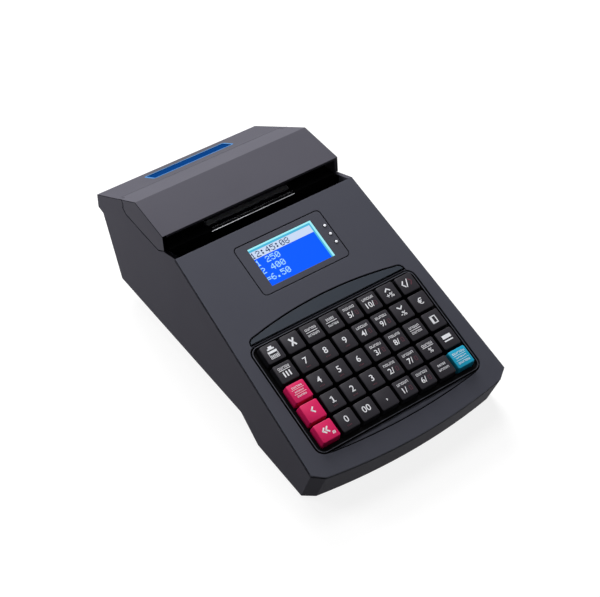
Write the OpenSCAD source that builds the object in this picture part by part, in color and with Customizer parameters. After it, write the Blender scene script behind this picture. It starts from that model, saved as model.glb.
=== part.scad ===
// Small desktop cash register with a receipt printer in its raised head.
// Millimetres. X runs across the keyboard, +Y towards the printer head, +Z up.
// The origin is on the table, under the middle of the register.

/* [Housing] */
// Overall length from the front edge to the rear lip
body_length = 242; // [230:1:260]
// Width at the front edge, before the corners are cut
front_width = 137; // [132:0.5:150]
// Width at the rear lip
rear_width = 116.5; // [112:0.5:122]
// Wall thickness of the housing
wall = 2.5; // [2:0.1:3]
// Height of the front edge of the deck above the table
deck_front_height = 24.4; // [22:0.2:28]
// Length of the sloping deck from its front edge to its ridge
deck_length = 156.4; // [154:0.2:158]
// Tilt of the deck from the table
deck_tilt = 20.7; // [19:0.1:22]
// Radius of the bowed front edge
front_radius = 390; // [300:10:600]
// Length of each corner cut, along the front edge
corner_cut = 6.8; // [4:0.2:9]
// Slope of each corner cut from the front edge
corner_cut_angle = 36; // [25:1:45]
// Height of the rubber feet
foot_height = 2; // [1.5:0.1:3]

/* [Head] */
// Height of the lid ridge above the table
ridge_height = 90; // [88:0.5:94]
// Distance of the lid ridge ahead of the rear lip
ridge_inset = 51.1; // [48:0.5:54]
// Fall of the head behind the ridge
rear_slope = 29.7; // [27:0.1:32]
// Fall of the lid in front of the ridge
lid_slope = 6.8; // [5:0.1:9]
// Length of the lid in front of the ridge
lid_front_length = 31; // [29:0.5:33]
// Length of the sloping lid face behind the ridge, along Y
lid_rear_length = 22.6; // [21:0.2:24]
// Height of the rear lip
lip_height = 9.6; // [8:0.2:11]
// How far the rear lip stands out from the rear wall
lip_overhang = 6; // [4:0.5:8]
// Lean of the rear wall from upright
rear_lean = 22.6; // [18:0.2:26]
// Height of the seam between the lid and the side walls
seam_height = 71.15; // [70:0.05:72]
// Gap between the lid and the housing
seam_gap = 0.4; // [0.3:0.05:0.6]
// Wall thickness of the lid
lid_wall = 2.4; // [2:0.1:2.8]
// Depth of the hinge pin below the rear slope
hinge_depth = 2; // [1.8:0.1:2.2]
// Radius of the hinge pin
pin_radius = 0.9; // [0.7:0.05:1]

/* [Skirt] */
// Height of the side skirt edge at its front end
skirt_front_height = 13.6; // [11:0.2:16]
// Height of the side skirt edge at its rear end
skirt_rear_height = 9.7; // [8:0.1:12]
// Distance from the front edge back to the step in the skirt
skirt_step_start = 62.5; // [58:0.5:68]
// Length of the step in the skirt
skirt_step_length = 17.5; // [14:0.5:20]
// Inset of the base plinth from the side walls
plinth_inset = 12; // [10:0.5:15]

/* [Keyboard] */
// Number of key columns
key_columns = 8;
// Number of key rows
key_rows = 5;
// Distance between key columns
key_pitch_x = 13.5; // [13.5:0.1:13.8]
// Distance between key rows
key_pitch_y = 13.35; // [13.35:0.05:13.6]
// Width and depth of a key at its foot
key_foot = 12.3; // [12:0.1:12.4]
// Width and depth of a key at its top
key_top = 10.6; // [10:0.1:11]
// Height of the key tops above the deck
key_height = 4; // [3:0.1:5]
// Travel of each key
key_travel = 2.5; // [2:0.1:3]
// Clearance between a key and its guide hole
key_clearance = 0.25; // [0.2:0.05:0.3]
// Distance from the front edge to the middle of the front key row
front_row_offset = 26.45; // [26:0.1:27.5]

/* [Displays] */
// Width of the operator display window
screen_width = 44.4; // [42:0.2:46]
// Depth of the operator display window
screen_depth = 26.4; // [25:0.2:28]
// Width of the display bezel
bezel_width = 61; // [60:0.5:62]
// Depth of the display bezel
bezel_depth = 34.8; // [34:0.2:36]
// Distance from the front edge to the middle of the display
screen_offset = 129.6; // [128:0.2:131]
// Width of the groove round inset pieces
groove = 0.6; // [0.4:0.1:0.8]
// Radius of the status lamps
lamp_radius = 1; // [0.8:0.1:1.2]
// Width of the customer display window
customer_width = 57; // [54:0.5:60]
// Depth of the customer display window, down the slope
customer_depth = 13.5; // [12:0.5:14]
// Distance from the lid hinge to the middle of the customer window
customer_offset = 17.2; // [16:0.2:18]

/* [Printer] */
// Width of the paper roll
paper_width = 57.5; // [56:0.5:58]
// Radius of a full paper roll
roll_radius = 17; // [14:0.5:17]
// Radius of the roll core
core_radius = 6; // [5:0.5:7]
// Radius of the platen roller
platen_radius = 4; // [3.5:0.1:4]
// Radius of the platen shaft
shaft_radius = 1.5; // [1.2:0.1:1.6]
// Teeth on the platen gear
gear_teeth = 18; // [14:1:20]
// Height of the paper exit shelf above the table
shelf_height = 76; // [75.6:0.1:76.2]
// Depth of the finger recess under the lid edge
recess_depth = 14; // [12:0.5:16]

/* [Hidden] */
key_names = [
    ["key_clear", "key_0", "key_00", "key_comma", "key_group_1", "key_group_6", "key_subtotal", "key_total"],
    ["key_back", "key_1", "key_2", "key_3", "key_group_2", "key_group_7", "key_percent", "key_card"],
    ["key_cancel", "key_4", "key_5", "key_6", "key_group_3", "key_group_8", "key_function_c", "key_device"],
    ["key_menu", "key_7", "key_8", "key_9", "key_group_4", "key_group_9", "key_minus", "key_currency"],
    ["key_feed", "key_multiply", "key_function_a", "key_function_b", "key_group_5", "key_group_10", "key_plus",
     "key_arrows"]
];
$fn = 48;

// Shared clearances
fit = 0.3;              // between pieces that are pushed together
run = 0.05;             // between a shaft and its bearing, on the radius
reach = 200;            // longer than the register, for cutting tools
skin = 0.01;            // overlap that joins two solids

// Front, deck and skirt
front_y = -body_length / 2;
rear_y = body_length / 2;
deck_back_y = front_y + deck_length * cos(deck_tilt);
deck_back_z = deck_front_height + deck_length * sin(deck_tilt);
chin_y = front_y + (deck_front_height - foot_height) * tan(deck_tilt);
step_front_y = front_y + skirt_step_start;
step_rear_y = step_front_y + skirt_step_length;
corner_x = front_width / 2 - corner_cut - 0.4;
corner_v = sagitta(corner_x, front_radius);

// Head
ridge_y = rear_y - ridge_inset;
lid_front_y = ridge_y - lid_front_length;
lid_front_z = ridge_height - lid_front_length * tan(lid_slope);
hinge_top_y = ridge_y + lid_rear_length;
hinge_radius = 1.5 * hinge_depth;
hinge_clear = hinge_radius + 0.2;
hinge_back = sqrt(hinge_clear * hinge_clear - hinge_depth * hinge_depth);
hinge_y = hinge_top_y - hinge_back * cos(rear_slope) - hinge_depth * sin(rear_slope);
hinge_z = slope_z(hinge_top_y) + hinge_back * sin(rear_slope) - hinge_depth * cos(rear_slope);
lip_top_z = slope_z(rear_y);
lip_bottom_z = lip_top_z - lip_height;
rear_wall_y = rear_y - lip_overhang;
rear_foot_y = rear_wall_y - (lip_bottom_z - skirt_rear_height) * tan(rear_lean);
seam_rear_y = hinge_top_y - 9.3;
seam_front_y = lid_front_y + 6.2;
mouth_y = lid_front_y - 0.9;
mouth_z = seam_height + 4.45;

// Deck pieces, in deck coordinates
panel_edge = 0.8;       // height of the deck edge above the shadow groove
panel_seat = 2;         // depth of the wall tops below the deck
panel_thickness = 2.5;
groove_depth = 1;       // shadow groove under the deck edge
keyboard_back = front_row_offset + (key_rows - 1) * key_pitch_y + 9.45;
keyboard_front = front_row_offset - 10.55;
keyboard_half = (key_columns - 1) * key_pitch_x / 2 + 10.55;
bezel_x = 0.5;          // the bezel is wider on the side of the lamps
lamp_x = bezel_x + bezel_width / 2 - 3;
lamp_pitch = 6.05;

// Key, guide frame, mat and board, below the deck
frame_top = 1.5;
frame_bottom = 4;
flange_top = frame_bottom + fit;
flange_bottom = flange_top + 1;
dome_top = flange_bottom + key_travel + 0.4;
mat_top = dome_top + 1.2;
board_top = mat_top + 1;
board_thickness = 1.6;
board_bottom = board_top + board_thickness;

// Printer
platen_y = lid_front_y + 8.6;
platen_z = shelf_height + fit + platen_radius;
face_y = mouth_y - 0.3;
well_half = paper_width / 2 + 1;
well_front_y = platen_y + 7;
well_rear_y = well_front_y + 2 * roll_radius + 1.2;
roll_y = (well_front_y + well_rear_y) / 2;
roll_z = seam_height - roll_radius - 1;
deck_z = seam_height - 0.7;     // top of the printer frame beside the roll
frame_wall = 2;
cheek_x = paper_width / 2 + 2.25;
cheek_thickness = 2.5;
head_half = paper_width / 2 + 1.25;

// Base
floor_z = foot_height;
floor_thickness = 2.5;
plinth_front_y = step_front_y - 4;
plinth_rear_y = rear_foot_y - 12;
base_rear_y = rear_foot_y - wall / cos(rear_lean) - fit;
cell_radius = 9.2;
battery_front_y = plinth_front_y + 2;
board_front_y = battery_front_y + 4 * cell_radius + 2;
board_z = 16;
boss_radius = 3.5;
screw_radius = 1.45;
screw_head_radius = 2.9;
screw_head_height = 1.9;
screw_places = [for (side = [-1, 1]) for (y = [front_y + 29, front_y + 101, rear_y - 36]) [side, y]];

function slope_z(y) = ridge_height - (y - ridge_y) * tan(rear_slope);
function sagitta(x, radius) = radius - sqrt(radius * radius - x * x);
function half_width(y) = front_width / 2 - (front_width - rear_width) / 2 * (y - front_y) / body_length;
function deck_y(v) = front_y + v * cos(deck_tilt);
function key_x(column) = (column - (key_columns - 1) / 2) * key_pitch_x;
function key_v(row) = front_row_offset + row * key_pitch_y;

// Moves each corner of a counter-clockwise outline inwards by d
function left_of(a, b) = [a[1] - b[1], b[0] - a[0]] / norm(b - a);
function inset_outline(p, d) = [
    for (i = [0:len(p) - 1])
        let (
            a = left_of(p[(i + len(p) - 1) % len(p)], p[i]),
            b = left_of(p[i], p[(i + 1) % len(p)])
        )
        p[i] + d * (a + b) / (1 + a * b)
];

case_outline = [
    [chin_y, floor_z],
    [step_front_y, floor_z],
    [step_rear_y, skirt_front_height],
    [rear_foot_y, skirt_rear_height],
    [rear_wall_y, lip_bottom_z - 0.8],
    [rear_y, lip_bottom_z],
    [rear_y, lip_top_z],
    [hinge_top_y, slope_z(hinge_top_y)],
    [seam_rear_y, seam_height],
    [seam_front_y, seam_height],
    [mouth_y, mouth_z],
    [deck_back_y, deck_back_z],
    [front_y, deck_front_height]
];
// The inside of the rear wall, lip and roof; open below and above the printer
case_cavity = inset_outline([
    [front_y - 30, -30],
    [rear_foot_y - (skirt_rear_height + 30) * tan(rear_lean), -30],
    [rear_wall_y, lip_bottom_z - 0.8],
    [rear_y, lip_bottom_z],
    [rear_y, lip_top_z],
    [ridge_y, ridge_height],
    [ridge_y, 130],
    [front_y - 30, 130]
], wall);
lid_outline = [
    [mouth_y, mouth_z + seam_gap],
    [seam_front_y, seam_height + seam_gap],
    [seam_rear_y, seam_height + seam_gap],
    [hinge_top_y - 2 * seam_gap, slope_z(hinge_top_y - 2 * seam_gap)],
    [ridge_y, ridge_height],
    [lid_front_y, lid_front_z]
];
// The inside of the lid; open below and in front
lid_cavity = inset_outline([
    [mouth_y - 30, 40],
    [hinge_y - hinge_radius, 40],
    [hinge_y - hinge_radius, slope_z(hinge_y - hinge_radius)],
    [ridge_y, ridge_height],
    [mouth_y - 30, ridge_height - (ridge_y - mouth_y + 30) * tan(lid_slope)]
], lid_wall);
base_outline = [
    [chin_y - 10, floor_z],
    [step_front_y, floor_z],
    [step_rear_y, skirt_front_height],
    [base_rear_y, skirt_rear_height],
    [base_rear_y + floor_thickness * tan(rear_lean), skirt_rear_height + floor_thickness],
    [step_rear_y - 1, skirt_front_height + floor_thickness],
    [step_front_y - 1, floor_z + floor_thickness],
    [chin_y - 10, floor_z + floor_thickness]
];

// Deck coordinates: x across, y up the slope from the front edge, z out of the deck
module on_deck() {
    translate([0, front_y, deck_front_height]) rotate([deck_tilt, 0, 0]) children();
}

// Slope coordinates: y down the head's rear slope from the hinge, z out of the slope
module on_slope() {
    translate([0, hinge_top_y, slope_z(hinge_top_y)]) rotate([-rear_slope, 0, 0]) children();
}

// A profile in Y and Z carried across X between two places
module across(outline, from = -reach / 2, to = reach / 2) {
    translate([from, 0, 0]) rotate([90, 0, 90]) linear_extrude(to - from) polygon(outline);
}

// A cylinder that lies across X
module rod(radius, from, to, y, z) {
    translate([from, y, z]) rotate([0, 90, 0]) cylinder(r = radius, h = to - from);
}

// The tapering plan between the side walls, moved inwards
module plan_block(inset = 0) {
    y0 = front_y - 10;
    y1 = rear_y + 10;
    translate([0, 0, -10]) linear_extrude(130) polygon([
        [-half_width(y0) + inset, y0],
        [half_width(y0) - inset, y0],
        [half_width(y1) - inset, y1],
        [-half_width(y1) + inset, y1]
    ]);
}

// Bowed front edge with its corner cuts, in deck coordinates
module front_shape(inset = 0) {
    rise = tan(corner_cut_angle);
    shift = inset / cos(corner_cut_angle);
    intersection() {
        translate([0, front_radius]) circle(r = front_radius - inset, $fn = 180);
        polygon([
            [-100, corner_v + (100 - corner_x) * rise + shift],
            [-30, corner_v + (30 - corner_x) * rise + shift],
            [30, corner_v + (30 - corner_x) * rise + shift],
            [100, corner_v + (100 - corner_x) * rise + shift],
            [100, 330],
            [-100, 330]
        ]);
    }
}

module front_block(inset = 0) {
    on_deck() translate([0, 0, -100]) linear_extrude(260) front_shape(inset);
}

// Outline of the deck, moved inwards
module deck_shape(inset = 0, back_inset = 0) {
    intersection() {
        front_shape(inset);
        polygon([
            [-half_width(deck_y(0)) + inset, 0],
            [half_width(deck_y(0)) - inset, 0],
            [half_width(deck_y(deck_length)) - inset, deck_length - back_inset],
            [-half_width(deck_y(deck_length)) + inset, deck_length - back_inset]
        ]);
    }
}

// Rectangle with round corners, about its middle
module round_rect(width, depth, radius) {
    square([width - 2 * radius, depth], center = true);
    square([width, depth - 2 * radius], center = true);
    for (x = [-1, 1]) for (y = [-1, 1])
        translate([x * (width / 2 - radius), y * (depth / 2 - radius)]) circle(r = radius);
}

module keyboard_shape(inset = 0) {
    width = 2 * (keyboard_half - inset);
    depth = keyboard_back - keyboard_front - 2 * inset;
    translate([0, (keyboard_back + keyboard_front) / 2]) round_rect(width, depth, 6 - inset);
}

// Bowed strip behind the keys, with round ends
module name_strip_shape() {
    radius = 255;
    end_radius = 4.3;
    end_x = keyboard_half - 3.3 - end_radius;
    crown = keyboard_back + 10.1;
    end_v = crown - sagitta(end_x, radius) - end_radius;
    half = [
        [end_x + end_radius, keyboard_back - 1],
        for (angle = [0:20:80]) [end_x + end_radius * cos(angle), end_v + end_radius * sin(angle)],
        for (x = [48:-6:1]) [x, crown - sagitta(x, radius)]
    ];
    polygon(concat(half, [[0, crown]], [for (i = [len(half) - 1:-1:0]) [-half[i][0], half[i][1]]]));
}

// Crescent in front of the keys, concentric with the front edge
module front_crescent_shape() {
    half = keyboard_half - 6.3;
    low = keyboard_front - 3.8;
    polygon(concat(
        [[half, keyboard_front + 1], [-half, keyboard_front + 1]],
        [for (i = [-8:8]) [i * half / 8, low + sagitta(i * half / 8, front_radius)]]
    ));
}

module main_case() {
    color("#35363d") {
        difference() {
            union() {
                difference() {
                    intersection() {
                        across(case_outline);
                        plan_block();
                        front_block();
                    }
                    intersection() {
                        across(case_cavity);
                        plan_block(wall);
                        front_block(wall);
                    }
                    intersection() {
                        rod(hinge_clear, -reach / 2, reach / 2, hinge_y, hinge_z);
                        plan_block(wall);
                    }
                }
                hinge_ears();
                case_bosses();
                printer_ledges();
            }
            on_deck() translate([-reach / 2, -20, -panel_seat]) cube([reach, deck_length + 20, reach]);
            on_slope() translate([0, customer_offset, -wall - 1])
                linear_extrude(wall + 2) round_rect(customer_width, customer_depth, 1.5);
            rod(pin_radius + run, -hinge_span, hinge_span, hinge_y, hinge_z);
            socket_openings();
            for (place = screw_places) translate([place[0] * boss_x(place[1]), place[1], 0])
                cylinder(r = screw_radius + run, h = boss_floor(place[1]) + screw_reach + 1);
        }
    }
}

hinge_span = half_width(hinge_top_y) - 0.6;  // the pin ends just inside the side walls

// Round ears in the side walls that hold the ends of the hinge pin
module hinge_ears() {
    intersection() {
        rod(hinge_radius, -reach / 2, reach / 2, hinge_y, hinge_z);
        under_slope();
        difference() {
            plan_block();
            plan_block(wall);
        }
    }
}

// Everything below the head's rear slope
module under_slope() {
    across([[0, 0], [rear_y, 0], [rear_y, lip_top_z], [0, slope_z(0)]]);
}

function boss_x(y) = half_width(y) - wall - 5.2;
function boss_floor(y) =
    y < step_front_y ? floor_z + floor_thickness
    : skirt_front_height + floor_thickness
        - (y - step_rear_y) / (rear_foot_y - step_rear_y) * (skirt_front_height - skirt_rear_height);
pad_rise = 2;           // the base pads stand above the floor, so the screw heads can sink in
boss_height = 12;
screw_reach = 10;

// Bosses for the base screws, each tied to its side wall
module case_bosses() {
    for (place = screw_places) {
        x = boss_x(place[1]);
        translate([0, place[1], boss_floor(place[1]) + pad_rise + 0.2]) {
            translate([place[0] * x, 0, 0]) cylinder(r = boss_radius, h = boss_height);
            translate([place[0] * (x + 4.1) - 3, -1, 0]) cube([6, 2, boss_height]);
        }
    }
}

// Ribs on the side walls that carry the printer frame
module printer_ledges() {
    ledge_depth = 4;
    y0 = well_front_y;
    y1 = well_rear_y - 4;
    for (side = [-1, 1])
        intersection() {
            translate([side * (half_width(y0) - ledge_depth / 2 - wall), (y0 + y1) / 2, deck_z - frame_wall - 3])
                cube([2 * ledge_depth, y1 - y0, 6], center = true);
            plan_block(0.5);
        }
}

module deck_panel() {
    color("#42444c") difference() {
        union() {
            on_deck() {
                translate([0, 0, -panel_edge]) linear_extrude(panel_edge) deck_shape(0, 0.1);
                translate([0, 0, -panel_seat]) linear_extrude(panel_seat - panel_edge + skin)
                    deck_shape(groove_depth, 0.1);
                translate([0, 0, -panel_thickness]) linear_extrude(panel_thickness - panel_seat + skin)
                    deck_shape(wall + fit, 0.8);
                for (place = board_posts)
                    translate([place[0], place[1], -board_top]) cylinder(r = 2.5, h = board_top - 1);
            }
            panel_rear_flange();
        }
        on_deck() {
            translate([0, 0, -10]) linear_extrude(20) keyboard_shape();
            translate([bezel_x, screen_offset, -10]) linear_extrude(20)
                round_rect(bezel_width, bezel_depth, 3);
            translate([0, 0, -0.8]) linear_extrude(5) name_strip_shape();
            translate([0, 0, -0.6]) linear_extrude(5) front_crescent_shape();
            for (place = board_posts)
                translate([place[0], place[1], -board_top - 1]) cylinder(r = 1.1, h = 8);
        }
    }
}

// Posts under the deck that carry the keyboard's circuit board
board_margin = 5;
board_posts = [for (x = [-48, 0, 48]) for (v = [keyboard_front - board_margin, keyboard_back + board_margin]) [x, v]];

// Edge that turns down behind the ridge
module panel_rear_flange() {
    half = half_width(deck_back_y) - wall - 2 * fit - 0.2;
    translate([-half, deck_back_y - 2, deck_back_z - 12]) cube([2 * half, 2, 11]);
}

module base_plate() {
    color("#2c2d31") difference() {
        union() {
            difference() {
                intersection() {
                    across(base_outline);
                    plan_block(wall + fit);
                    front_block(wall + fit);
                }
                base_pocket(0, floor_z);
            }
            difference() {
                base_pocket(-floor_thickness, floor_z, skirt_front_height - floor_z);
                base_pocket(0, floor_z + floor_thickness);
            }
            for (x = [-1, 1]) for (y = standoff_places)
                translate([x * standoff_x, y, floor_z + 1]) cylinder(r = 3, h = board_z - floor_z - 1);
            intersection() {
                for (place = screw_places)
                    translate([place[0] * boss_x(place[1]), place[1], boss_floor(place[1]) - 1])
                        cylinder(r = 4.9, h = pad_rise + 1);
                plan_block(wall + fit);
            }
        }
        for (place = screw_places) translate([place[0] * boss_x(place[1]), place[1], 0]) {
            cylinder(r = screw_radius + 0.25, h = 40);
            cylinder(r = screw_head_radius + 0.4, h = screw_seat(place[1]) + screw_head_height + 0.1);
        }
    }
}

standoff_x = 40;
standoff_places = [board_front_y + 6, plinth_rear_y - 8];
function screw_seat(y) = boss_floor(y) - floor_thickness;

// Space inside the plinth; a negative inset gives its outer faces
module base_pocket(inset, from, height = 30) {
    y0 = plinth_front_y + inset;
    y1 = plinth_rear_y - inset;
    x0 = half_width(plinth_front_y) - plinth_inset - floor_thickness - inset;
    x1 = half_width(plinth_rear_y) - plinth_inset - floor_thickness - inset;
    translate([0, 0, from]) linear_extrude(height) polygon([[-x0, y0], [x0, y0], [x1, y1], [-x1, y1]]);
}

module printer_lid() {
    color("#4e5057") difference() {
        union() {
            difference() {
                intersection() {
                    across(lid_outline);
                    plan_block();
                }
                intersection() {
                    across(lid_cavity);
                    plan_block(lid_wall);
                }
                lip_chamfer();
            }
            intersection() {
                rod(hinge_radius, -reach / 2, reach / 2, hinge_y, hinge_z);
                under_slope();
                plan_block(wall + fit);
            }
            lid_cheeks();
        }
        difference() {
            rod(hinge_radius + fit, -reach / 2, reach / 2, hinge_y, hinge_z);
            plan_block(wall + fit);
        }
        rod(pin_radius + run, -reach / 2, reach / 2, hinge_y, hinge_z);
        rod(shaft_radius + run, -cheek_x - 10, cheek_x + 10, platen_y, platen_z);
    }
}

// Thins the lid towards its front edge
module lip_chamfer() {
    edge = 1.2;
    back_y = lid_front_y + 6;
    intersection() {
        across([
            [lid_front_y - 1, lid_front_z - edge - 0.1],
            [lid_front_y - 1, lid_front_z - 8],
            [back_y, lid_front_z - 8],
            [back_y, lid_front_z + 6 * tan(lid_slope) - lid_wall / cos(lid_slope)]
        ]);
        plan_block(lid_wall);
    }
}

// Two bearings that hold the platen under the lid
module lid_cheeks() {
    for (x = [-cheek_x - cheek_thickness, cheek_x]) {
        rod(shaft_radius + 1.6, x, x + cheek_thickness, platen_y, platen_z);
        translate([x, platen_y - 3.1, platen_z]) cube([cheek_thickness, 6.2, lid_front_z - platen_z - 0.6]);
    }
}

module hinge_pin() {
    color("#b9bcc0") rod(pin_radius, 0.2 - hinge_span, hinge_span - 0.2, hinge_y, hinge_z);
}

module printer_frame() {
    recess_z = deck_back_z - recess_depth;
    front_wall_y = deck_back_y + fit;
    color("#17181a") difference() {
        intersection() {
            union() {
                across([
                    [front_wall_y, recess_z - frame_wall],
                    [face_y + frame_wall, recess_z - frame_wall],
                    [face_y + frame_wall, shelf_height - frame_wall],
                    [well_front_y, shelf_height - frame_wall],
                    [well_front_y, deck_z - frame_wall],
                    [well_rear_y + frame_wall, deck_z - frame_wall],
                    [well_rear_y + frame_wall, deck_z],
                    [well_front_y + frame_wall, deck_z],
                    [well_front_y + frame_wall, shelf_height],
                    [face_y, shelf_height],
                    [face_y, recess_z],
                    [front_wall_y + 1.5, recess_z],
                    [front_wall_y + 1.5, deck_back_z - 2.5],
                    [front_wall_y, deck_back_z - 2.5]
                ]);
                well_outer();
                head_box_outer();
            }
            plan_block(wall + 0.5);
        }
        well_inner();
        head_box_inner();
        translate([-paper_width / 2 - 0.6, blade_y - 0.1, shelf_height - blade_tail - 0.1])
            cube([paper_width + 1.2, blade + 0.2, blade_tail + 2.1]);
    }
}

// Trough that the paper roll drops into
module well_outer() {
    x = well_half + frame_wall;
    rod(roll_radius + 0.6 + frame_wall, -x, x, roll_y, roll_z);
    translate([-x, well_front_y - frame_wall, roll_z])
        cube([2 * x, well_rear_y - well_front_y + 2 * frame_wall, deck_z - roll_z]);
}

module well_inner() {
    rod(roll_radius + 0.6, -well_half, well_half, roll_y, roll_z);
    translate([-well_half, well_front_y, roll_z])
        cube([2 * well_half, well_rear_y - well_front_y, shelf_height - roll_z + 5]);
}

// Pocket that holds the print head under the platen
module head_box_outer() {
    box_height = head_height + frame_wall;
    translate([-head_half - fit - frame_wall, face_y, shelf_height - box_height])
        cube([2 * (head_half + fit + frame_wall), well_front_y - face_y, box_height]);
}

module head_box_inner() {
    translate([-head_half - fit, head_front_y - fit, shelf_height - head_height])
        cube([2 * (head_half + fit), head_depth + 2 * fit, 20]);
}

head_front_y = lid_front_y + 3.4;
head_depth = 10;
head_height = 7;
head_ridge = 1.8;       // height of the narrower upper part of the print head
blade = 0.5;
blade_tail = 5.9;       // how far the tear bar reaches down its slot
blade_rise = 0.4;       // height of the tooth roots above the shelf
blade_y = face_y + 0.6;

module print_head() {
    color("#9a9da1") {
        translate([-head_half, head_front_y, shelf_height - head_height])
            cube([2 * head_half, head_depth, head_height - head_ridge]);
        translate([-head_half + 1, head_front_y + 1, shelf_height - head_ridge - skin])
            cube([2 * head_half - 2, head_depth - 2, head_ridge + skin]);
    }
}

// Serrated blade that the receipt is torn against
module tear_bar() {
    tooth = 1.5;
    height = 0.6;
    count = floor(paper_width / tooth);
    x0 = -count * tooth / 2;
    color("#d8dadd") translate([0, blade_y + blade, shelf_height]) rotate([90, 0, 0])
        linear_extrude(blade) polygon(concat(
            [[-x0, -blade_tail], [-x0, blade_rise]],
            [for (i = [count - 1:-1:0]) each [
                [x0 + (i + 0.5) * tooth, blade_rise + height],
                [x0 + i * tooth, blade_rise]
            ]],
            [[x0, -blade_tail]]
        ));
}

module platen_roller() {
    gear_x = cheek_x + cheek_thickness + 0.6;
    color("#1c1c1e") {
        rod(platen_radius, -paper_width / 2, paper_width / 2, platen_y, platen_z);
        rod(shaft_radius, -gear_x - 4, cheek_x + cheek_thickness + 2, platen_y, platen_z);
        translate([-gear_x - 3.6, platen_y, platen_z]) rotate([90, 0, 90]) linear_extrude(3.6) gear_shape();
    }
}

// Straight-sided teeth on a small gear
module gear_shape() {
    tip = platen_radius - 0.1;
    root = tip - 0.9;
    step = 360 / gear_teeth;
    polygon([
        for (i = [0:gear_teeth - 1])
            for (corner = [[root, -0.30], [tip, -0.14], [tip, 0.14], [root, 0.30]])
                corner[0] * [cos((i + corner[1]) * step), sin((i + corner[1]) * step)]
    ]);
}

module paper_roll() {
    color("#f2f2ee") difference() {
        rod(roll_radius, -paper_width / 2, paper_width / 2, roll_y, roll_z + fit - 0.6 + skin);
        rod(core_radius, -paper_width, paper_width, roll_y, roll_z + fit - 0.6 + skin);
    }
}

module display_bezel() {
    neck = panel_thickness + 0.2;
    color("#42444c") on_deck() translate([bezel_x, screen_offset, 0]) difference() {
        union() {
            translate([0, 0, -neck]) linear_extrude(neck - 0.1)
                round_rect(bezel_width - 2 * groove, bezel_depth - 2 * groove, 3 - groove);
            translate([0, 0, -panel_thickness - bezel_flange]) linear_extrude(bezel_flange)
                round_rect(bezel_width + 3, bezel_depth + 3, 3);
        }
        translate([-bezel_x, 0, -10]) linear_extrude(20) square([screen_width, screen_depth], center = true);
        translate([-bezel_x, 0, -12 - bezel_face]) linear_extrude(12)
            square([module_width + 2 * fit, module_depth + 2 * fit], center = true);
        for (i = [-1:1]) translate([lamp_x - bezel_x, i * lamp_pitch, -10])
            cylinder(r = lamp_radius + 0.15, h = 20);
    }
}

bezel_face = 2;         // thickness of the bezel in front of the screen
bezel_flange = 1.2;
module_rim = 2.3;       // rim of the screen module round its window
module_width = screen_width + 2 * module_rim;
module_depth = screen_depth + 2 * module_rim;
module_height = 2.9;

// Screen module on its circuit board, with three status lamps
module operator_display() {
    back = bezel_face + 0.1 + module_height;
    board_left = module_width / 2 + 2.5;
    board_right = lamp_x + 5;
    board_depth = module_depth + 3;
    color("#1568ff") on_deck() translate([0, screen_offset, 0]) {
        translate([-module_width / 2, -module_depth / 2, -back]) cube([module_width, module_depth, module_height]);
        translate([-board_left, -board_depth / 2, -back - board_thickness])
            cube([board_left + board_right, board_depth, board_thickness + skin]);
        for (i = [-1:1]) translate([lamp_x, i * lamp_pitch, -back - skin])
            cylinder(r = lamp_radius, h = back + 0.2);
    }
}

module customer_display() {
    color("#0f4696") on_slope() {
        translate([-customer_width / 2 - 3, customer_offset - customer_depth / 2 - 1.5, -wall - 2.2])
            cube([customer_width + 6, customer_depth + 3, 2.1]);
        translate([-customer_width / 2 - 5, customer_offset - customer_depth / 2 - 3, -wall - 3.8])
            cube([customer_width + 10, customer_depth + 6, 1.6 + skin]);
    }
}

module key_frame() {
    color("#101113") on_deck() difference() {
        union() {
            translate([0, 0, -frame_bottom]) linear_extrude(frame_bottom - frame_top) keyboard_shape(groove + 0.2);
            translate([0, 0, -frame_bottom]) linear_extrude(frame_bottom - 0.2) difference() {
                keyboard_shape(groove + 0.2);
                keyboard_shape(groove + 1.4);
            }
            translate([0, 0, -frame_bottom]) linear_extrude(frame_bottom - panel_thickness) keyboard_shape(-1);
        }
        for (row = [0:key_rows - 1]) for (column = [0:key_columns - 1])
            translate([key_x(column), key_v(row), -frame_bottom]) cube([
                key_foot + 2 * key_clearance, key_foot + 2 * key_clearance - 0.15, 20
            ], center = true);
    }
}

// Silicone sheet with one dome under each key
module key_mat() {
    color("#8d9096") on_deck() {
        translate([0, 0, -board_top]) linear_extrude(1) keyboard_shape(3);
        for (row = [0:key_rows - 1]) for (column = [0:key_columns - 1])
            translate([key_x(column), key_v(row), -mat_top - skin])
                cylinder(r1 = 3.6, r2 = 2.4, h = mat_top - dome_top);
    }
}

// Circuit board under the keys
module key_board() {
    color("#1f6b3a") on_deck() difference() {
        translate([0, (keyboard_back + keyboard_front) / 2, -board_bottom]) linear_extrude(board_thickness)
            round_rect(2 * keyboard_half, keyboard_back - keyboard_front + 4 * board_margin - 4, 2);
        for (place = board_posts)
            translate([place[0], place[1], -board_bottom - 1]) cylinder(r = 1.2, h = 5);
    }
}

socket_y = rear_foot_y + 1;
board_half = standoff_x + 5;
socket_floor = board_z + board_thickness;
// Place across, width, height and depth of each socket
power_socket = [-32, 9.5, 11, 14];
drawer_socket = [-12, 15, 13, 17];
data_socket = [10, 12, 11, 16];
jack_radius = 3.15;
jack_depth = 9;

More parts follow.
